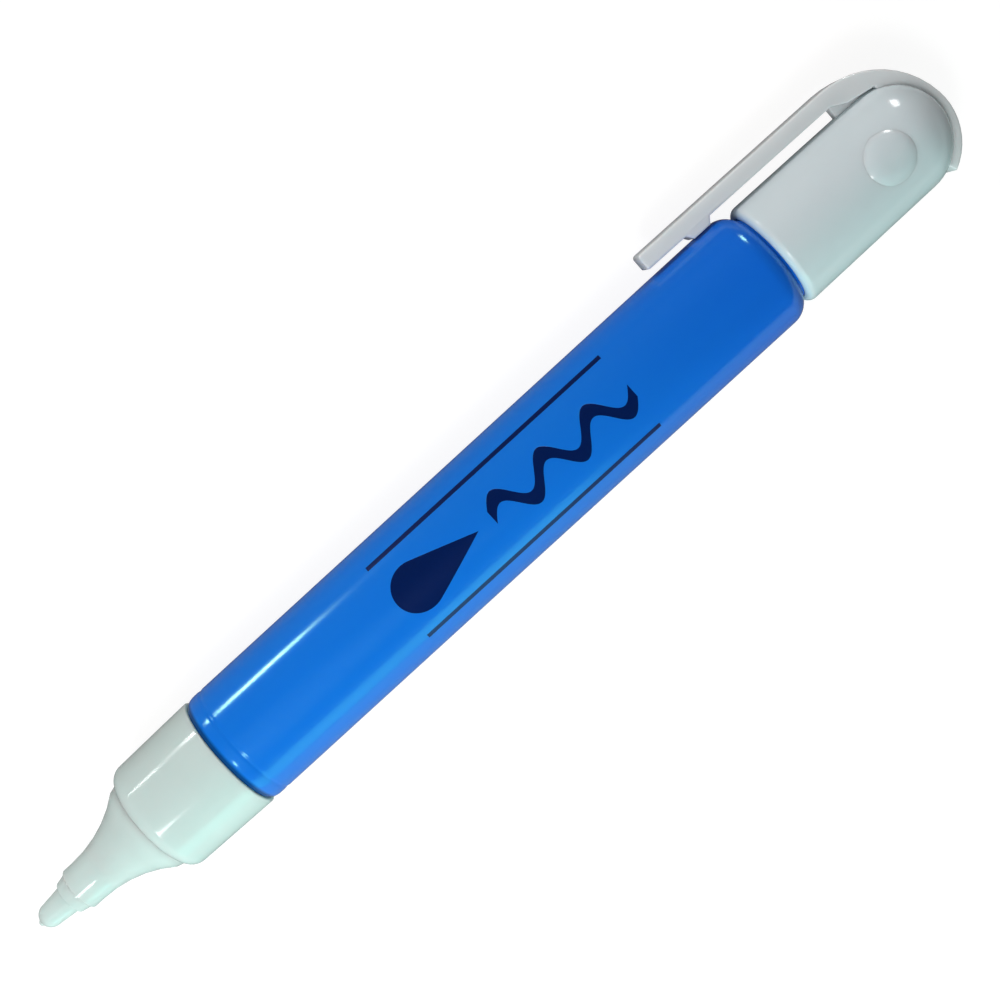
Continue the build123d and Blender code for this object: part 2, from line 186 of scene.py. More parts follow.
class PenCapSizes(bpy.types.PropertyGroup):
    """Sizes of the cap, its pads and its clip."""
    mouth: length("Mouth radius", 6.6, "Outer radius of the cap at its mouth")
    dome: length("Dome radius", 6.45, "Radius of the cap where its end starts to round")
    dome_flat: length("Dome flattening", 0.35, "How much shallower the dome is than a half ball")
    dome_ease: length("Dome ease", 0.95, "How much smaller the dome's outer arc is than the cap's radius")
    bore: length("Bore radius", 5.65, "Radius of the cap's bore")
    liner_room: length("Liner room", 0.2, "Room between the liner and the end of the cap's hollow")
    mouth_round: length("Mouth round", 0.9, "Rounding of the cap's mouth")
    pad: length("Pad radius", 3.0, "Radius of the round pad on each side of the cap")
    pad_back: length("Pad place", 3.35, "Distance of the pad's middle in front of the dome")
    pad_height: length("Pad height", 0.4, "How far the pad's crown stands out of the cap")
    pad_sunk: length("Pad root", 0.5, "How deep the pad's rim is sunk into the cap's wall")
    clip_width: length("Clip width", 4.0, "Width of the clip arm and of the crest")
    clip_thickness: length("Clip thickness", 1.9, "Thickness of the clip arm")
    clip_rise: length("Clip rise", 0.25, "How much further out the clip's free end stands than its root")
    clip_edge: length("Clip edge", 0.25, "Rounding of the clip's long edges")
    end_round: length("Clip end round", 0.4, "Rounding of the corners at the clip's free end")
    bead_back: length("Bead place", 7.1, "Distance of the bead from the clip's free end")
    bead_top: length("Bead root", 3.4, "Length of the bead where it leaves the arm")
    bead_foot: length("Bead foot", 2.25, "Length of the bead where it meets the barrel")
    bead_gap: length("Bead clearance", 0.1, "Clearance between the bead and the barrel")
    crest_height: length("Crest height", 0.7, "How far the crest stands out of the dome")
    crest_inner: length("Crest root", 0.5, "How deep the crest is sunk into the dome")
    rib_width: length("Rib width", 1.6, "Width of the rib between the clip's root and the cap")
    gusset: length("Gusset", 1.6, "Length over which the clip's root thickens towards the cap")
    strap_gap: length("Strap clearance", 0.45, "Height of the recess beside the rib")
    strap_run: length("Strap run", 1.7, "How far over the dome the recess reaches")
    strap_sink: length("Strap sink", 0.2, "How far the recess's end lies inside the cap's radius")


class PenColours(bpy.types.PropertyGroup):
    """Colours of the pen's finishes."""
    barrel: colour("Barrel", "106DD1", "Pigmented polyethylene of the barrel")
    ink: colour("Print", "00184C", "Screen-printed marks on the barrel")
    nose: colour("Nose", "BFD0CD", "Natural polypropylene of the nose")
    cap: colour("Cap", "CBD8DC", "Pale grey polypropylene of the cap")
    # Painted light: the clip's colour is the cap's plastic painted lighter, standing in for light that comes
    # through its thin sections.
    clip: colour("Clip", "D8DFE1", "The same polypropylene where it is thin, in the clip and its crest")
    # Painted light: the lip tint stands in for the barrel's blue shining through the cap's thin lip.
    lip: colour("Lip", "9FD8F2", "Tint of the cap's lip where the barrel shines through")
    liner: colour("Liner", "E4E8E6", "Unpigmented polyethylene inside the cap")
    valve: colour("Valve", "E6E6DF", "Acetal of the valve's small parts")
    seal: colour("Seals", "2B2C2F", "Nitrile rubber of the gasket and the cap's seal")
    steel: colour("Steel", "C9CACC", "Stainless steel of the needle, the spring and the ball")


class PenStageSettings(bpy.types.PropertyGroup):
    """Where the camera stands, how it is turned, and how strong the lamps are."""
    distance: length("Camera distance", 188.0, "Distance of the camera from the pen's axis")
    aim_along: length("Aim along", 40.047, "Place of the picture's middle, from the barrel's front edge")
    aim_across: length("Aim across", 0.33, "Same, from the pen's axis towards the clip")
    tilt: FloatProperty(name="Tilt", description="Lean of the view towards the clip", default=radians(7.7),
                        subtype="ANGLE")
    turn: FloatProperty(name="Turn", description="Slant of the pen in the picture", default=radians(42.45),
                        subtype="ANGLE")
    lens: FloatProperty(name="Lens", description="Focal length on a 36 mm sensor", default=62.3,
                        unit="CAMERA")
    lamps: FloatProperty(name="Lamps", description="Factor on the strength of every lamp", default=1.0,
                         min=0.0)
    sky: FloatProperty(name="Room light", description="Factor on the soft light from the sides of the room",
                       default=1.0, min=0.0)


GROUPS = {
    "pen_barrel": PenBarrelSizes,
    "pen_nose": PenNoseSizes,
    "pen_spring": PenSpringSizes,
    "pen_cap": PenCapSizes,
    "pen_colours": PenColours,
    "pen_stage": PenStageSettings,
}


def in_mm(group):
    """The lengths of a property group in millimetres."""
    return SimpleNamespace(**{key: getattr(group, key) / MM for key in group.__annotations__})


# Mesh helpers

def sweep(bm, vert, centre, turn):
    """Draws an arc from a vertex about a centre in the XY plane and returns its last vertex."""
    made = bmesh.ops.spin(bm, geom=[vert], cent=centre, axis=(0, 0, 1), angle=turn,
                          steps=max(3, ceil(abs(turn) / ARC_STEP)), use_duplicate=False)
    return next(item for item in made["geom_last"] if isinstance(item, bmesh.types.BMVert))


def line_to(bm, vert, point):
    """Draws a straight edge from a vertex and returns the new vertex."""
    made = bm.verts.new(point)
    bm.edges.new((vert, made))
    return made


def trace(bm, outline):
    """Wire along (x, r) corners, (x, r, rounding) corners of straight runs, and Arcs from where it stands."""
    first = last = bm.verts.new((*outline[0], 0))
    for here, after in zip(outline[1:], (*outline[2:], None)):
        if isinstance(here, Arc):
            last = sweep(bm, last, Vector((here.x, here.r, 0)), radians(here.turn))
            continue
        corner = Vector((here[0], here[1], 0))
        if len(here) == 2:
            last = line_to(bm, last, corner)
            continue
        back = (last.co - corner).normalized()
        onward = (Vector((after[0], after[1], 0)) - corner).normalized()
        half = back.angle(onward) / 2
        centre = corner + (back + onward).normalized() * here[2] / sin(half)
        last = line_to(bm, last, corner + back * here[2] / tan(half))
        side = 1 if back.cross(onward).z < 0 else -1
        last = sweep(bm, last, centre, side * (pi - 2 * half))
    return first, last


def lathe(outline):
    """Solid of revolution about the pen's axis from an outline that closes on itself or on the axis."""
    bm = bmesh.new()
    first, last = trace(bm, outline)
    if first.co.y > MERGE or last.co.y > MERGE:
        bm.edges.new((last, first))
    bmesh.ops.spin(bm, geom=bm.verts[:] + bm.edges[:], cent=(0, 0, 0), axis=(1, 0, 0), angle=2 * pi,
                   steps=SPIN_STEPS, use_merge=True)
    return bm


def settle(bm, name, material):
    """Makes a finished object of a mesh drawn in the pen's own millimetres."""
    bmesh.ops.remove_doubles(bm, verts=bm.verts[:], dist=MERGE)
    bmesh.ops.recalc_face_normals(bm, faces=bm.faces[:])
    bmesh.ops.transform(bm, matrix=Matrix.Scale(MM, 4) @ Matrix.Translation(PEN_FRONT), verts=bm.verts[:])
    for face in bm.faces:
        face.smooth = True
    for edge in bm.edges:
        edge.smooth = edge.is_manifold and edge.calc_face_angle(0.0) < SHARP
    mesh = bpy.data.meshes.new(name)
    bm.to_mesh(mesh)
    bm.free()
    mesh.materials.append(material)
    piece = bpy.data.objects.new(name, mesh)
    bpy.context.scene.collection.objects.link(piece)
    return piece


# Materials

def add_node(tree, kind, links=None, values=None, **settings):
    """Adds a node with its settings, the sockets that are linked and the values of the others."""
    made = tree.nodes.new(kind)
    for key, value in settings.items():
        setattr(made, key, value)
    for key, value in (values or {}).items():
        made.inputs[key].default_value = value
    for key, source in (links or {}).items():
        tree.links.new(source, made.inputs[key])
    return made


def start_material(name):
    """A material with an empty node tree."""
    made = bpy.data.materials.get(name)
    if made is None:
        made = bpy.data.materials.new(name)
    made.use_nodes = True
    made.node_tree.nodes.clear()
    return made, made.node_tree


def pen_millimetres(tree):
    """Object coordinates as millimetres from the middle of the barrel's front edge."""
    where = add_node(tree, "ShaderNodeTexCoord")
    return add_node(tree, "ShaderNodeMapping", {"Vector": where.outputs["Object"]},
                    {"Location": -PEN_FRONT, "Scale": (1 / MM,) * 3}).outputs["Vector"]


def opaque(tint):
    """A colour with full alpha."""
    return (*tint, 1.0)


def polyethylene_blow_moulded(colours):
    """Blow-moulded blue polyethylene: deep even gloss on a slightly wavy wall, with printed navy marks."""
    streak_mm, rub_mm, wave_mm = (50.0, 8.33, 8.33), 1.11, 9.09
    wave_depth, film_depth = 0.02, 0.01
    thin_to, thick_from, thick_tint = 50.0, 80.0, linear("FFEBFF")
    # Painted shade on the front edge's rounding, full up to 0.4 mm and gone by 0.75 mm.
    shade_full_to, shade_none_from = 0.4, 0.75
    bare_gloss, ink_gloss = linear("ADFFE1"), linear("AABCFF")
    material, tree = start_material("polyethylene_blow_moulded_blue")
    place = pen_millimetres(tree)
    axes = add_node(tree, "ShaderNodeSeparateXYZ", {0: place}).outputs
    angle = add_node(tree, "ShaderNodeMath", {0: axes["Y"], 1: axes["Z"]}, operation="ARCTAN2").outputs[0]
    around = add_node(tree, "ShaderNodeMath", {0: angle}, {1: BARREL_RADIUS}, operation="MULTIPLY").outputs[0]
    label = add_node(tree, "ShaderNodeCombineXYZ", {"X": axes["X"], "Y": around}).outputs[0]
    inked = print_mask(tree, label)

    # The pigment streaks a little along the draw of the parison, in bands 50 mm long and 8 mm wide.
    pull = add_node(tree, "ShaderNodeMapping", {"Vector": place}, {"Scale": [1 / mm for mm in streak_mm]})
    streak = add_node(tree, "ShaderNodeTexNoise", {"Vector": pull.outputs[0]}, {"Scale": 1.0, "Detail": 3.0})
    base = Vector(colours.barrel)
    drawn = add_node(tree, "ShaderNodeMix", {0: streak.outputs["Fac"]},
                     {6: opaque(base * 0.9), 7: opaque(base * 1.1)}, data_type="RGBA").outputs[2]
    # The wall thickens towards the shoulder, where less light comes through and the blue is deeper.
    thick = add_node(tree, "ShaderNodeMapRange", {"Value": axes["X"]},
                     {"From Min": thin_to, "From Max": thick_from}).outputs[0]
    body = add_node(tree, "ShaderNodeMix", {0: thick, 6: drawn}, {7: opaque(thick_tint)},
                    data_type="RGBA", blend_type="MULTIPLY").outputs[2]
    # Painted shade: the rounding of the barrel's front edge is painted dark where it meets the collar, and its
    # gloss is lowered there.
    edge_shade = add_node(tree, "ShaderNodeMapRange", {"Value": axes["X"]}, {
        "From Min": shade_full_to, "From Max": shade_none_from, "To Min": 1.0, "To Max": 0.0}).outputs[0]
    shine = add_node(tree, "ShaderNodeMapRange", {"Value": edge_shade}, {"To Min": 0.5, "To Max": 0.3}).outputs[0]
    edge_shaded = add_node(tree, "ShaderNodeMix", {0: edge_shade, 6: body}, {7: opaque(base * 0.3)},
                     data_type="RGBA").outputs[2]
    dyed = add_node(tree, "ShaderNodeMix", {0: inked, 6: edge_shaded}, {7: opaque(colours.ink)},
                    data_type="RGBA").outputs[2]

    # Handling leaves fine rubs that dull the gloss in spots of about a millimetre.
    rubs = add_node(tree, "ShaderNodeTexNoise", {"Vector": place}, {"Scale": 1 / rub_mm, "Detail": 4.0})
    bare = add_node(tree, "ShaderNodeMapRange", {"Value": rubs.outputs[0]}, {"To Min": 0.1, "To Max": 0.2})
    rough = add_node(tree, "ShaderNodeMapRange", {"Value": inked, "To Min": bare.outputs[0]},
                     {"To Max": 0.24}).outputs[0]

    # Wall waves are about 9 mm long and a few micrometres deep; the ink film stands 10 micrometres proud.
    waves = add_node(tree, "ShaderNodeTexNoise", {"Vector": place}, {"Scale": 1 / wave_mm, "Detail": 1.0})
    wavy = add_node(tree, "ShaderNodeBump", {"Height": waves.outputs["Fac"]},
                    {"Strength": 0.5, "Distance": wave_depth * MM})
    film = add_node(tree, "ShaderNodeBump", {"Height": inked, "Normal": wavy.outputs[0]},
                    {"Strength": 0.6, "Distance": film_depth * MM})
    # The pigment tints the gloss, cyan on the bare wall and violet on the ink.
    sheen = add_node(tree, "ShaderNodeMix", {0: inked}, {6: opaque(bare_gloss), 7: opaque(ink_gloss)},
                     data_type="RGBA").outputs[2]
    skin = add_node(tree, "ShaderNodeBsdfPrincipled", {
        "Base Color": dyed, "Roughness": rough, "Specular IOR Level": shine, "Specular Tint": sheen,
        "Normal": film.outputs[0]}, {
        "IOR": 1.51, "Subsurface Weight": 0.12, "Subsurface Radius": (0.3, 0.6, 1.6), "Subsurface Scale": MM})
    add_node(tree, "ShaderNodeOutputMaterial", {"Surface": skin.outputs[0]})
    return material


def print_mask(tree, label):
    """1 where the print lies: a drop, a brushed wave behind it and a thin rule on each side."""
    drop_x, drop_r, drop_point = 27.6, 2.9, 36.2
    wave_from, wave_to, wave_pitch, wave_height, wave_half = 38.2, 58.0, 6.6, 1.5, 0.85
    middle, rule_off, rule_half, rule_from, rule_to = 0.4, 5.3, 0.3, 24.7, 58.0
    axes = add_node(tree, "ShaderNodeSeparateXYZ", {0: label}).outputs
    across = add_node(tree, "ShaderNodeMath", {0: axes["Y"]}, {1: middle}, operation="SUBTRACT").outputs[0]

    ball = add_node(tree, "ShaderNodeVectorMath", {0: label}, {1: (drop_x, middle, 0)}, operation="DISTANCE")
    ball_ink = add_node(tree, "ShaderNodeMath", {0: ball.outputs["Value"]}, {1: drop_r},
                        operation="LESS_THAN").outputs[0]
    # The drop's sides run from the ball's tangent points to its point.
    slope = tan(asin(drop_r / (drop_point - drop_x)))
    touch = drop_x + drop_r * drop_r / (drop_point - drop_x)
    off = add_node(tree, "ShaderNodeMath", {0: across}, operation="ABSOLUTE").outputs[0]
    left = add_node(tree, "ShaderNodeMath", {1: axes["X"]}, {0: drop_point}, operation="SUBTRACT").outputs[0]
    room = add_node(tree, "ShaderNodeMath", {0: left}, {1: slope}, operation="MULTIPLY").outputs[0]
    tail = add_node(tree, "ShaderNodeMath", {0: off, 1: room}, operation="LESS_THAN").outputs[0]
    behind = add_node(tree, "ShaderNodeMath", {0: axes["X"]}, {1: touch}, operation="GREATER_THAN").outputs[0]
    tail_ink = add_node(tree, "ShaderNodeMath", {0: tail, 1: behind}, operation="MULTIPLY").outputs[0]
    drop = add_node(tree, "ShaderNodeMath", {0: ball_ink, 1: tail_ink}, operation="MAXIMUM").outputs[0]

    phase = add_node(tree, "ShaderNodeMath", {0: axes["X"]}, {1: wave_from}, operation="SUBTRACT").outputs[0]
    swing = add_node(tree, "ShaderNodeMath", {0: phase}, {1: 2 * pi / wave_pitch}, operation="MULTIPLY")
    sine = add_node(tree, "ShaderNodeMath", {0: swing.outputs[0]}, operation="SINE").outputs[0]
    rise = add_node(tree, "ShaderNodeMath", {0: sine}, {1: wave_height}, operation="MULTIPLY").outputs[0]
    apart = add_node(tree, "ShaderNodeMath", {0: across, 1: rise}, operation="SUBTRACT").outputs[0]
    gap = add_node(tree, "ShaderNodeMath", {0: apart}, operation="ABSOLUTE").outputs[0]
    stroke = add_node(tree, "ShaderNodeMath", {0: gap}, {1: wave_half}, operation="LESS_THAN").outputs[0]
    wave = within(tree, axes["X"], stroke, wave_from, wave_to)

    beside = add_node(tree, "ShaderNodeMath", {0: off}, {1: rule_off, 2: rule_half}, operation="COMPARE")
    rules = within(tree, axes["X"], beside.outputs[0], rule_from, rule_to)
    ink = drop
    for mark in (wave, rules):
        ink = add_node(tree, "ShaderNodeMath", {0: ink, 1: mark}, operation="MAXIMUM").outputs[0]
    return ink


def within(tree, along, mark, start, end):
    """A mark kept between two stations along the barrel."""
    held = add_node(tree, "ShaderNodeMath", {0: along}, {1: (start + end) / 2, 2: (end - start) / 2},
                    operation="COMPARE").outputs[0]
    return add_node(tree, "ShaderNodeMath", {0: mark, 1: held}, operation="MULTIPLY").outputs[0]


def moulded_plastic(colours, name, code, rough, translucency, depth, lip=None):
    """Injection-moulded plastic: soft gloss over a faint flow mottle, lit a little from within."""
    flow_mm, grain_mm, grain_depth = 2.86, 0.25, 0.006
    gloss_spread, lip_run, lip_share = 0.04, 0.5, 0.35
    material, tree = start_material(name)
    place = pen_millimetres(tree)
    base = Vector(getattr(colours, code))
    # Flow marks are a few millimetres long; the mould's fine grain is drawn at a quarter of a millimetre.
    marks = add_node(tree, "ShaderNodeTexNoise", {"Vector": place}, {"Scale": 1 / flow_mm, "Detail": 3.0})
    flow = marks.outputs["Fac"]
    tone = add_node(tree, "ShaderNodeMix", {0: flow}, {6: opaque(base * 0.98), 7: opaque(base * 1.02)},
                    data_type="RGBA").outputs[2]
    if lip:
        # Painted light: the barrel's blue is painted onto the first half millimetre of the cap's lip, as if
        # shining through from its shoulder.
        along = add_node(tree, "ShaderNodeSeparateXYZ", {0: place}).outputs["X"]
        glow = add_node(tree, "ShaderNodeMapRange", {"Value": along}, {
            "From Min": CAP_MOUTH, "From Max": CAP_MOUTH + lip_run, "To Min": lip_share,
            "To Max": 0.0}).outputs[0]
        tone = add_node(tree, "ShaderNodeMix", {0: glow, 6: tone}, {7: opaque(getattr(colours, lip))},
                        data_type="RGBA").outputs[2]
    grain = add_node(tree, "ShaderNodeTexNoise", {"Vector": place}, {"Scale": 1 / grain_mm, "Detail": 2.0})
    gloss = add_node(tree, "ShaderNodeMapRange", {"Value": flow},
                     {"To Min": rough - gloss_spread, "To Max": rough + gloss_spread})
    bump = add_node(tree, "ShaderNodeBump", {"Height": grain.outputs["Fac"]},
                    {"Strength": 0.25, "Distance": grain_depth * MM})
    skin = add_node(tree, "ShaderNodeBsdfPrincipled", {
        "Base Color": tone, "Roughness": gloss.outputs[0], "Normal": bump.outputs[0]}, {
        "IOR": 1.49, "Subsurface Weight": translucency, "Subsurface Radius": (0.8, 1.0, 1.0),
        "Subsurface Scale": depth * MM})
    add_node(tree, "ShaderNodeOutputMaterial", {"Surface": skin.outputs[0]})
    return material


def nitrile_moulded(colours):
    """Moulded nitrile rubber: near black, matt, with a fine dusty bloom."""
    bloom_mm, bloom_depth = 0.667, 0.01
    material, tree = start_material("nitrile_moulded_black")
    place = pen_millimetres(tree)
    # The bloom lies in specks of about two thirds of a millimetre.
    specks = add_node(tree, "ShaderNodeTexNoise", {"Vector": place}, {"Scale": 1 / bloom_mm, "Detail": 5.0})
    dust = specks.outputs["Fac"]
    base = Vector(colours.seal)
    tone = add_node(tree, "ShaderNodeMix", {0: dust}, {6: opaque(base), 7: opaque(base * 1.8)},
                    data_type="RGBA").outputs[2]
    bump = add_node(tree, "ShaderNodeBump", {"Height": dust}, {"Strength": 0.3, "Distance": bloom_depth * MM})
    skin = add_node(tree, "ShaderNodeBsdfPrincipled", {"Base Color": tone, "Normal": bump.outputs[0]},
                    {"Roughness": 0.7, "IOR": 1.52})
    add_node(tree, "ShaderNodeOutputMaterial", {"Surface": skin.outputs[0]})
    return material


def stainless_ground(colours):
    """Ground stainless steel: bright grey with fine grinding rings across the pen's axis."""
    line_mm = (0.1, 2.5, 2.5)
    crust_to, clean_from = TIP_FRONT + 0.05, TIP_FRONT + 0.15
    material, tree = start_material("stainless_ground_bright")
    place = pen_millimetres(tree)
    # Grinding lines are drawn a tenth of a millimetre apart, far coarser than real ones.
    ground = add_node(tree, "ShaderNodeMapping", {"Vector": place}, {"Scale": [1 / mm for mm in line_mm]})
    rings = add_node(tree, "ShaderNodeTexNoise", {"Vector": ground.outputs[0]}, {"Scale": 1.0, "Detail": 2.0})
    lines = rings.outputs["Fac"]
    gloss = add_node(tree, "ShaderNodeMapRange", {"Value": lines}, {"To Min": 0.12, "To Max": 0.24})
    base = Vector(colours.steel)
    tone = add_node(tree, "ShaderNodeMix", {0: lines}, {6: opaque(base * 0.92), 7: opaque(base)},
                    data_type="RGBA").outputs[2]
    # Dried fluid whitens the last three tenths of a millimetre of the needle.
    along = add_node(tree, "ShaderNodeSeparateXYZ", {0: place}).outputs["X"]
    clean = add_node(tree, "ShaderNodeMapRange", {"Value": along}, {
        "From Min": crust_to, "From Max": clean_from}).outputs[0]
    crust = add_node(tree, "ShaderNodeMix", {0: clean, 7: tone}, {6: opaque(colours.nose)},
                     data_type="RGBA").outputs[2]
    skin = add_node(tree, "ShaderNodeBsdfPrincipled", {
        "Base Color": crust, "Roughness": gloss.outputs[0], "Metallic": clean})
    add_node(tree, "ShaderNodeOutputMaterial", {"Surface": skin.outputs[0]})
    return material


def nose_plastic(colours):
    """Natural polypropylene of the nose: milky and a little translucent."""
    return moulded_plastic(colours, "polypropylene_moulded_milky", "nose",
                           rough=0.12, translucency=0.8, depth=2.0)


def cap_plastic(colours):
    """Pale grey polypropylene of the clip and the crest: satin and a little translucent, painted lighter than
    the cap as if lit through its thin sections.
    """
    return moulded_plastic(colours, "polypropylene_moulded_pale_grey_painted_lit", "clip",
                           rough=0.17, translucency=0.45, depth=1.0)


def lip_plastic(colours):
    """The same polypropylene on the cap's shell, with the barrel's blue painted onto its thin lip as if
    shining through.
    """
    return moulded_plastic(colours, "polypropylene_moulded_lip_painted_glow", "cap",
                           rough=0.17, translucency=0.45, depth=1.0, lip="lip")


# Pieces

class PEN_OT_barrel(bpy.types.Operator):
    """Spins the blow-moulded barrel with its front groove, its shoulder and its closed neck"""
    bl_idname = "pen.make_barrel"
    bl_label = "Barrel"

    def execute(self, context):
        b = in_mm(context.scene.pen_barrel)
        r, inner = BARREL_RADIUS, BARREL_RADIUS - b.wall
        front = r - b.draft
        shoulder_x = b.shoulder_end - b.shoulder_round
        shoulder_r = r - b.shoulder_round
        foot_turn = degrees(asin((b.neck_radius - shoulder_r) / b.shoulder_round)) - 90
        bore = b.neck_radius - b.neck_wall
        inner_round = b.shoulder_round - b.wall
        lip = b.groove_width / 2
        edge = (b.front_run ** 2 + b.front_drop ** 2) / (2 * b.front_drop)
        bm = lathe([
            (0, inner), (0, front - b.front_drop),
            Arc(b.front_run, front - edge, -degrees(asin(b.front_run / edge))),
            (b.groove_station - lip, front, b.groove_round),
            (b.groove_station, front - b.groove_depth, b.groove_round),
            (b.groove_station + lip, front, b.groove_round),
            (shoulder_x, r), Arc(shoulder_x, shoulder_r, foot_turn),
            (NECK_END, b.neck_radius, b.neck_round), (NECK_END, 0),
            (NECK_END - b.neck_wall, 0), (NECK_END - b.neck_wall, bore),
            (shoulder_x + inner_round, bore), (shoulder_x + inner_round, shoulder_r),
            Arc(shoulder_x, shoulder_r, 90),
        ])
        piece = settle(bm, "barrel_wall", polyethylene_blow_moulded(context.scene.pen_colours))
        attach(piece, "pen")
        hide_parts("barrel")
        return {"FINISHED"}


class PEN_OT_nose(bpy.types.Operator):
    """Spins the collar, the trumpet-shaped nozzle cone and the stepped tip"""
    bl_idname = "pen.make_nose"
    bl_label = "Nose"

    def execute(self, context):
        n = in_mm(context.scene.pen_nose)
        plastic = nose_plastic(context.scene.pen_colours)
        for name, node, slot, outline in (
            ("collar_shell", "nose_collar", "nose_white", self.collar(n)),
            ("cone_trumpet", "nozzle_cone", "nose_white", self.cone(n)),
            ("tip_nib", "nozzle_tip", "tip_white", self.tip(n)),
        ):
            piece = settle(lathe(outline), name, plastic)
            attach(piece, "pen")
            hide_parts(node)
        return {"FINISHED"}

    def collar(self, n):
        """Collar with its spigot in the barrel."""
        turn = acos(1 - (n.collar_front - n.collar_root) / n.collar_round)
        round_x = COLLAR_FRONT + n.collar_round * sin(turn)
        return [
            (COLLAR_FRONT, n.collar_bore), (COLLAR_FRONT, n.collar_root),
            Arc(round_x, n.collar_front - n.collar_round, -degrees(turn)),
            (0, n.collar_rear, n.collar_edge), (0, n.spigot_radius),
            (SPIGOT_END, n.spigot_radius, n.edge), (SPIGOT_END, n.spigot_bore, n.edge), (0, n.spigot_bore),
            (0, n.collar_bore),
        ]

    def cone(self, n):
        """Cone: a flange on the collar's face, a flare into a straight mouth, and a shank behind."""
        base_x = COLLAR_FRONT - n.flange
        mouth_x = CONE_FRONT + n.mouth_land
        run, rise = base_x - mouth_x, n.cone_base - n.cone_mouth
        flare = (run * run + rise * rise) / (2 * rise)
        shank = n.collar_bore - n.fit
        socket_x = CONE_FRONT + n.socket
        return [
            (CONE_FRONT, n.tip_plug), (CONE_FRONT, n.cone_mouth, n.edge), (mouth_x, n.cone_mouth),
            Arc(mouth_x, n.cone_mouth + flare, degrees(asin(run / flare))),
            (COLLAR_FRONT, n.collar_root), (COLLAR_FRONT, shank),
            (SHANK_END, shank), (SHANK_END, n.tip_base), (socket_x, n.tip_base), (socket_x, n.tip_plug),
        ]

    def tip(self, n):
        """Tip: a tapered base, a small step and a tapering nib with a ball end, bored for the needle."""
        step_x = CONE_FRONT - n.tip_base_length
        ball_x = TIP_FRONT + n.nib_end
        plug = n.tip_plug - n.fit
        return [
            (TIP_REAR, n.needle_hole), (TIP_REAR, plug), (CONE_FRONT, plug),
            (CONE_FRONT, n.tip_base, n.edge), (step_x, n.tip_step, n.edge), (step_x, n.nib, n.edge / 2),
            (ball_x, n.nib_end), Arc(ball_x, 0, degrees(pi / 2 - asin(n.needle_hole / n.nib_end))),
        ]


def dome_arcs(c):
    """Start of the dome, centre of its end arc on the axis, and the angle at which its two arcs meet."""
    swell = c.dome_ease - c.dome_flat
    back = (c.dome_ease ** 2 - swell ** 2) / (2 * swell)
    dome_x = CAP_END - c.crest_height - c.dome + c.dome_flat
    return dome_x, dome_x - back, degrees(atan2(c.dome_ease, back))


class PEN_OT_cap(bpy.types.Operator):
    """Spins the domed cap and sets a lens-like pad on each of its sides"""
    bl_idname = "pen.make_cap"
    bl_label = "Cap"

    def execute(self, context):
        c = in_mm(context.scene.pen_cap)
        dome_x, middle_x, bend = dome_arcs(c)
        cavity_x = LINER_REAR + c.liner_room
        bm = lathe([
            (CAP_MOUTH, c.bore), (CAP_MOUTH, c.mouth, c.mouth_round), (dome_x, c.dome),
            Arc(dome_x, c.dome_ease, bend - 90), Arc(middle_x, 0, -bend), (cavity_x, 0), (cavity_x, c.bore),
        ])
        plastic = lip_plastic(context.scene.pen_colours)
        shell = settle(bm, "cap_dome", plastic)
        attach(shell, "cap")
        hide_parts("cap_shell")
        pads = settle(self.pads(c, dome_x - c.pad_back), "cap_pads", plastic)
        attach(pads, "cap")
        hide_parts("cap_shell")
        return {"FINISHED"}

    def pads(self, c, station):
        """Two shallow lenses on the round of the cap, one on each side, with their rims sunk in its wall."""
        bm = bmesh.new()
        bmesh.ops.create_circle(bm, cap_ends=True, radius=c.pad, segments=PAD_STEPS)
        for _ in range(PAD_RINGS - 1):
            middle = [f for f in bm.faces if f.calc_center_median().length < MERGE]
            bmesh.ops.inset_individual(bm, faces=middle, thickness=c.pad / PAD_RINGS, use_even_offset=True)
        bmesh.ops.poke(bm, faces=[f for f in bm.faces if f.calc_center_median().length < MERGE])
        for vert in bm.verts:
            out = min(1.0, vert.co.xy.length / c.pad)
            vert.co.z = sqrt(c.dome ** 2 - vert.co.y ** 2) + c.pad_height * (1 - out ** PAD_CROWN)
        rim = bmesh.ops.extrude_edge_only(bm, edges=[e for e in bm.edges if e.is_boundary])
        sunk = [item for item in rim["geom"] if isinstance(item, bmesh.types.BMVert)]
        bmesh.ops.translate(bm, vec=(0, 0, -c.pad_sunk), verts=sunk)
        bmesh.ops.translate(bm, vec=(station, 0, 0), verts=bm.verts[:])
        bmesh.ops.holes_fill(bm, edges=[e for e in bm.edges if e.is_boundary], sides=0)
        bmesh.ops.mirror(bm, geom=bm.verts[:] + bm.edges[:] + bm.faces[:], axis="Z", merge_dist=-1)
        return bm


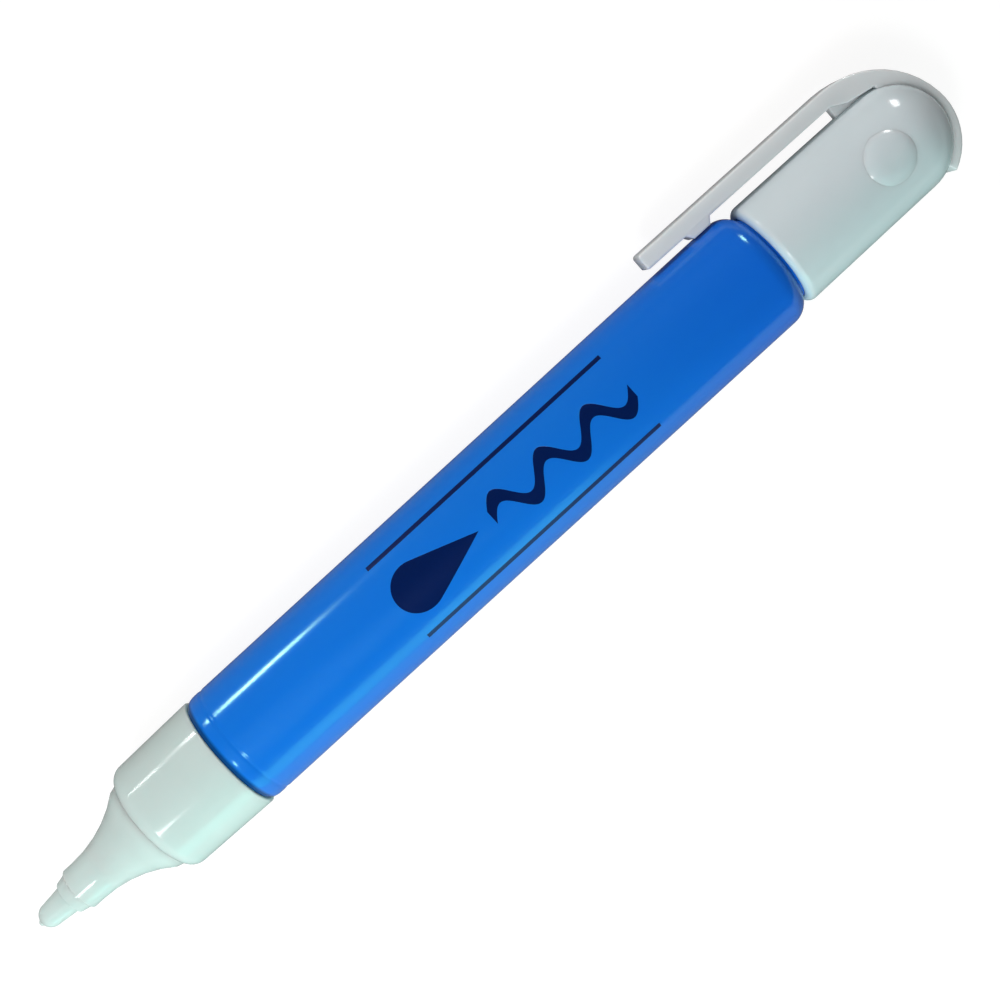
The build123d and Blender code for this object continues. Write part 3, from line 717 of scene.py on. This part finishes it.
class PEN_OT_clip(bpy.types.Operator):
    """Extrudes the clip arm with its bead and the crest that carries it over the dome"""
    bl_idname = "pen.make_clip"
    bl_label = "Clip and crest"

    def execute(self, context):
        c = in_mm(context.scene.pen_cap)
        plastic = cap_plastic(context.scene.pen_colours)
        arm = self.plate(self.outline(c), c.clip_width, c.clip_edge)
        strap = settle(arm, "clip_and_crest", plastic)
        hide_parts("clip_arm", "cap_shell")
        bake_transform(strap)
        rib = settle(self.plate(self.rib(c), c.rib_width, c.clip_edge / 2), "clip_rib", plastic)
        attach(rib, "cap")
        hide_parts("cap_shell")
        return {"FINISHED"}

    def plate(self, outline, width, edge):
        """A plate of a given width with the outline as its side view and rounded edges."""
        bm = bmesh.new()
        first, last = trace(bm, outline)
        bm.edges.new((last, first))
        bmesh.ops.contextual_create(bm, geom=bm.edges[:])
        bmesh.ops.translate(bm, verts=bm.verts[:], vec=(0, 0, -width / 2))
        made = bmesh.ops.extrude_face_region(bm, geom=bm.faces[:], use_keep_orig=True)
        far = [item for item in made["geom"] if isinstance(item, bmesh.types.BMVert)]
        bmesh.ops.translate(bm, vec=(0, 0, width), verts=far)
        bmesh.ops.recalc_face_normals(bm, faces=bm.faces[:])
        rims = [e for e in bm.edges if abs(e.verts[0].co.z - e.verts[1].co.z) < MERGE]
        bmesh.ops.bevel(bm, geom=rims, offset=edge, offset_type="OFFSET", affect="EDGES", segments=3,
                        profile=0.5, material=-1, clamp_overlap=True)
        return bm

    def outline(self, c):
        """Side view of arm and crest, from the bead round the free end, over the dome and back inside."""
        dome_x, middle_x, _ = dome_arcs(c)
        outer = reach("clip_arm") - c.clip_rise
        inner = outer - c.clip_thickness
        lean = c.clip_rise / (CLIP_ROOT - CLIP_FREE)

        def inside(x):
            return inner + (CLIP_ROOT - x) * lean

        bead = CLIP_FREE + c.bead_back
        foot = BARREL_RADIUS + c.bead_gap
        low = CAP_END - middle_x
        # The upper arc starts level with the clip's root and meets the lower one where their tangents agree.
        drop = middle_x - CLIP_ROOT
        upper = (outer ** 2 + drop ** 2 - low ** 2) / (2 * (outer - low))
        centre = (CLIP_ROOT, outer - upper)
        meet = degrees(atan2(-centre[1], drop))
        root = low - c.crest_height - c.crest_inner
        end = radians(CREST_REACH)
        strap_x = dome_x + c.strap_run
        return [
            (bead - c.bead_top / 2, inside(bead - c.bead_top / 2)),
            (CLIP_FREE, inside(CLIP_FREE), c.clip_edge), (CLIP_FREE, outer + c.clip_rise, c.end_round),
            (CLIP_ROOT, outer), Arc(*centre, meet - 90), Arc(middle_x, 0, -CREST_REACH - meet),
            (middle_x + root * cos(end), -root * sin(end)),
            Arc(middle_x, 0, CREST_REACH + degrees(acos((strap_x - middle_x) / root))),
            (strap_x, c.dome - c.strap_sink), (CLIP_ROOT + c.gusset, c.dome + c.strap_gap),
            (CLIP_ROOT, inner), (bead + c.bead_top / 2, inside(bead + c.bead_top / 2)),
            (bead + c.bead_foot / 2, foot), (bead - c.bead_foot / 2, foot),
        ]

    def rib(self, c):
        """Side view of the narrow rib that joins the clip's root to the cap."""
        strap_x = dome_arcs(c)[0] + c.strap_run
        top = reach("clip_arm") - c.clip_rise - c.clip_thickness / 2
        return [
            (CLIP_ROOT, c.bore), (CLIP_ROOT, top), (strap_x, c.dome - c.strap_sink + c.clip_thickness / 2),
            (strap_x, c.bore),
        ]


class PEN_OT_spring(bpy.types.Operator):
    """Winds the needle spring"""
    bl_idname = "pen.make_spring"
    bl_label = "Needle spring"

    def execute(self, context):
        w = in_mm(context.scene.pen_spring)
        steps = COIL_TURNS * COIL_STEPS
        climb = (SPRING_REAR - SPRING_FRONT - w.wire) / steps
        lead = COIL_STEPS * climb / pi / w.coil
        bm = bmesh.new()
        start = Matrix.Translation((SPRING_FRONT + w.wire / 2, w.coil / 2, 0))
        lean = Matrix.Rotation(atan(lead), 4, "Y")
        bmesh.ops.create_circle(bm, cap_ends=True, radius=w.wire / 2, segments=WIRE_SIDES,
                                matrix=start @ lean)
        bmesh.ops.spin(bm, geom=bm.verts[:] + bm.edges[:] + bm.faces[:], cent=(0, 0, 0), axis=(1, 0, 0),
                       dvec=(climb, 0, 0), angle=2 * pi * COIL_TURNS, steps=steps)
        spring = settle(bm, "spring_coil", stainless_ground(context.scene.pen_colours))
        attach(spring, "pen")
        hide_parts("needle_spring")
        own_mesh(spring)
        return {"FINISHED"}


class PEN_OT_inner(bpy.types.Operator):
    """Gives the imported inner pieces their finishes"""
    bl_idname = "pen.dress_inner"
    bl_label = "Inner pieces"

    def execute(self, context):
        colours = context.scene.pen_colours
        acetal = moulded_plastic(colours, "acetal_moulded_natural", "valve",
                                 rough=0.35, translucency=0.1, depth=0.5)
        polyethylene = moulded_plastic(colours, "polyethylene_moulded_natural", "liner",
                                       rough=0.4, translucency=0.3, depth=0.8)
        finishes = (
            (stainless_ground(colours), ("needle_pin", "mixing_ball")),
            (acetal, ("needle_stop", "valve_cage")),
            (polyethylene, ("cap_liner",)),
            (nitrile_moulded(colours), ("cone_gasket", "cap_seal")),
        )
        for finish, nodes in finishes:
            for node in nodes:
                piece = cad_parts[node]
                for slot in piece.material_slots:
                    slot.material = finish
        return {"FINISHED"}


# Stage

def lamp(name, place, aim, size, power, tint):
    """A soft rectangular lamp; places and sizes in millimetres, power in milliwatts."""
    light = bpy.data.lights.new(name, "AREA")
    light.shape = "RECTANGLE"
    light.size, light.size_y = (side * MM for side in size)
    light.energy = power * MM
    light.color = linear(tint)
    made = bpy.data.objects.new(name, light)
    made.location = Vector(place) * MM
    made.rotation_mode = "QUATERNION"
    made.rotation_quaternion = (Vector(aim) - Vector(place)).to_track_quat("-Z", "Y")
    bpy.context.scene.collection.objects.link(made)
    return made


class PEN_OT_stage(bpy.types.Operator):
    """Lays the white floor and sets the lamps, the room light and the camera"""
    bl_idname = "pen.make_stage"
    bl_label = "Stage"

    def execute(self, context):
        s = context.scene.pen_stage
        self.floor()
        self.room(context.scene, s.sky)
        # Fills light the pen without showing in its gloss; the small lamps leave the highlights.
        for name, place, aim, size, power, tint, mirrored in (
            ("nose_fill", (-100, -40, 170), (-40, 0, 7), (160, 160), 265, "FFFFFF", False),
            ("near_fill", (-60, -150, 60), (-30, 0, 7), (160, 80), 150, "F0FFFA", False),
            ("side_panel", (-170, -600, 140), (-40, 0, 7), (460, 260), 820, "96FFF0", True),
            ("strip_lamp", (-107, 395, 108), (-35, 0, 7), (38, 36), 257, "FFFFFF", True),
            ("strip_end", (-174, 395, 108), (-45, 0, 7), (28, 36), 44, "FFFFFF", True),
            ("overhead_lamp", (-343, -178, 626), (0, 0, 7), (120, 120), 950, "FFFFFF", True),
            ("cap_lamp", (430, 450, 120), (50, 0, 7), (100, 160), 1100, "FFFFFF", True),
        ):
            lamp(name, place, aim, size, power * s.lamps, tint).visible_glossy = mirrored
        self.camera(context.scene, s)
        return {"FINISHED"}

    def floor(self):
        """A wide white floor that keeps a soft shadow and reads as white in the picture."""
        half_metres, glow_strength, glow_share = 4.0, 1.15, 0.75
        gloss_full, gloss_none, gloss_share = -60, -10, 0.6
        bm = bmesh.new()
        bmesh.ops.create_grid(bm, x_segments=2, y_segments=2, size=half_metres)
        mesh = bpy.data.meshes.new("floor")
        bm.to_mesh(mesh)
        bm.free()
        material, tree = start_material("white_paper_sweep")
        ray = add_node(tree, "ShaderNodeLightPath").outputs
        seen = add_node(tree, "ShaderNodeMath", {0: ray["Is Camera Ray"], 1: ray["Is Transmission Ray"]},
                        operation="MAXIMUM").outputs[0]
        # The paper is greyer towards the pen than towards the eye, so that little light comes up from below.
        paper = add_node(tree, "ShaderNodeMix", {0: seen},
                         {6: opaque(linear("8C8C8C")), 7: opaque(linear("F2F2F2"))}, data_type="RGBA")
        matt = add_node(tree, "ShaderNodeBsdfDiffuse", {"Color": paper.outputs[2]})
        glow = add_node(tree, "ShaderNodeEmission", values={
            "Color": opaque(linear("FFFFFF")), "Strength": glow_strength})
        # In the pen's gloss only the paper on the side panel's side shows bright.
        where = add_node(tree, "ShaderNodeTexCoord").outputs["Object"]
        across = add_node(tree, "ShaderNodeSeparateXYZ", {0: where}).outputs["Y"]
        near = add_node(tree, "ShaderNodeMapRange", {"Value": across}, {
            "From Min": gloss_full * MM, "From Max": gloss_none * MM, "To Min": gloss_share,
            "To Max": 0.0}).outputs[0]
        mirrored = add_node(tree, "ShaderNodeMath", {0: near, 1: ray["Is Glossy Ray"]}, operation="MULTIPLY")
        share = add_node(tree, "ShaderNodeMath", {0: seen, 2: mirrored.outputs[0]}, {1: glow_share},
                         operation="MULTIPLY_ADD")
        both = add_node(tree, "ShaderNodeMixShader",
                        {0: share.outputs[0], 1: matt.outputs[0], 2: glow.outputs[0]})
        add_node(tree, "ShaderNodeOutputMaterial", {"Surface": both.outputs[0]})
        mesh.materials.append(material)
        floor = bpy.data.objects.new("floor", mesh)
        bpy.context.scene.collection.objects.link(floor)

    def room(self, scene, strength):
        """Soft light from the room's sides that shows dark in the pen's gloss and white to the camera."""
        from_side, from_rear, in_gloss = 1.35, 0.15, 0.08
        world = bpy.data.worlds.new("white_room")
        scene.world = world
        world.use_nodes = True
        tree = world.node_tree
        tree.nodes.clear()
        ray = add_node(tree, "ShaderNodeLightPath").outputs
        way = add_node(tree, "ShaderNodeTexCoord").outputs["Generated"]
        axes = add_node(tree, "ShaderNodeSeparateXYZ", {0: way}).outputs
        # Most of it comes from the clip's side, a little from the cap's end.
        side = add_node(tree, "ShaderNodeMath", {0: axes["Y"]}, {1: 0.0}, operation="MAXIMUM").outputs[0]
        rear = add_node(tree, "ShaderNodeMath", {0: axes["X"]}, {1: 0.0}, operation="MAXIMUM").outputs[0]
        across = add_node(tree, "ShaderNodeMath", {0: side, 1: side}, operation="MULTIPLY").outputs[0]
        ending = add_node(tree, "ShaderNodeMath", {0: rear, 1: rear}, operation="MULTIPLY").outputs[0]
        part = add_node(tree, "ShaderNodeMath", {0: ending}, {1: from_rear}, operation="MULTIPLY").outputs[0]
        soft = add_node(tree, "ShaderNodeMath", {0: across, 2: part}, {1: from_side},
                        operation="MULTIPLY_ADD").outputs[0]
        scaled = add_node(tree, "ShaderNodeMath", {0: soft}, {1: strength}, operation="MULTIPLY").outputs[0]
        lit = add_node(tree, "ShaderNodeMapRange", {"Value": ray["Is Diffuse Ray"], "To Max": scaled},
                       {"To Min": in_gloss}).outputs[0]
        level = add_node(tree, "ShaderNodeMapRange", {"Value": ray["Is Camera Ray"], "To Min": lit},
                         {"To Max": 1.0}).outputs[0]
        hue = add_node(tree, "ShaderNodeMix", {0: ray["Is Camera Ray"]},
                       {6: opaque(linear("FFF3EF")), 7: opaque(linear("FFFFFF"))},
                       data_type="RGBA").outputs[2]
        light = add_node(tree, "ShaderNodeBackground", {"Color": hue, "Strength": level})
        add_node(tree, "ShaderNodeOutputWorld", {"Surface": light.outputs[0]})

    def camera(self, scene, s):
        """Camera above the pen, leaning towards the clip and turned so that the pen lies aslant."""
        data = bpy.data.cameras.new("photo_camera")
        data.sensor_width, data.lens = 36.0, s.lens
        data.clip_start, data.clip_end = 0.005, 20.0
        view = Vector((0, sin(s.tilt), cos(s.tilt)))
        along, across = Vector((1, 0, 0)), Vector((0, cos(s.tilt), -sin(s.tilt)))
        right = along * cos(s.turn) - across * sin(s.turn)
        up = along * sin(s.turn) + across * cos(s.turn)
        made = bpy.data.objects.new("photo_camera", data)
        place = PEN_FRONT * MM + Vector((s.aim_along, s.aim_across, 0)) + view * s.distance
        made.matrix_world = Matrix.Translation(place) @ Matrix((right, up, view)).transposed().to_4x4()
        scene.collection.objects.link(made)
        scene.camera = made
        scene.view_settings.view_transform = "Standard"


class PEN_PT_panel(bpy.types.Panel):
    """Lists the pen's pieces and its sizes in the sidebar"""
    bl_idname = "PEN_PT_panel"
    bl_label = "Correction pen"
    bl_space_type = "VIEW_3D"
    bl_region_type = "UI"
    bl_category = "Pen"

    def draw(self, context):
        for maker in MAKERS:
            self.layout.operator(maker.bl_idname)
        for key, group in GROUPS.items():
            box = self.layout.box()
            for name in group.__annotations__:
                box.prop(getattr(context.scene, key), name)


MAKERS = (PEN_OT_barrel, PEN_OT_nose, PEN_OT_cap, PEN_OT_clip, PEN_OT_spring, PEN_OT_inner, PEN_OT_stage)


def register():
    for cls in (*GROUPS.values(), *MAKERS, PEN_PT_panel):
        bpy.utils.register_class(cls)
    for key, group in GROUPS.items():
        setattr(bpy.types.Scene, key, PointerProperty(type=group))


def unregister():
    for key in GROUPS:
        delattr(bpy.types.Scene, key)
    for cls in reversed((*GROUPS.values(), *MAKERS, PEN_PT_panel)):
        bpy.utils.unregister_class(cls)


def main():
    register()
    bpy.ops.pen.make_barrel()
    bpy.ops.pen.make_nose()
    bpy.ops.pen.make_cap()
    bpy.ops.pen.make_clip()
    bpy.ops.pen.make_spring()
    bpy.ops.pen.dress_inner()
    bpy.ops.pen.make_stage()


if __name__ == "__main__":
    main()
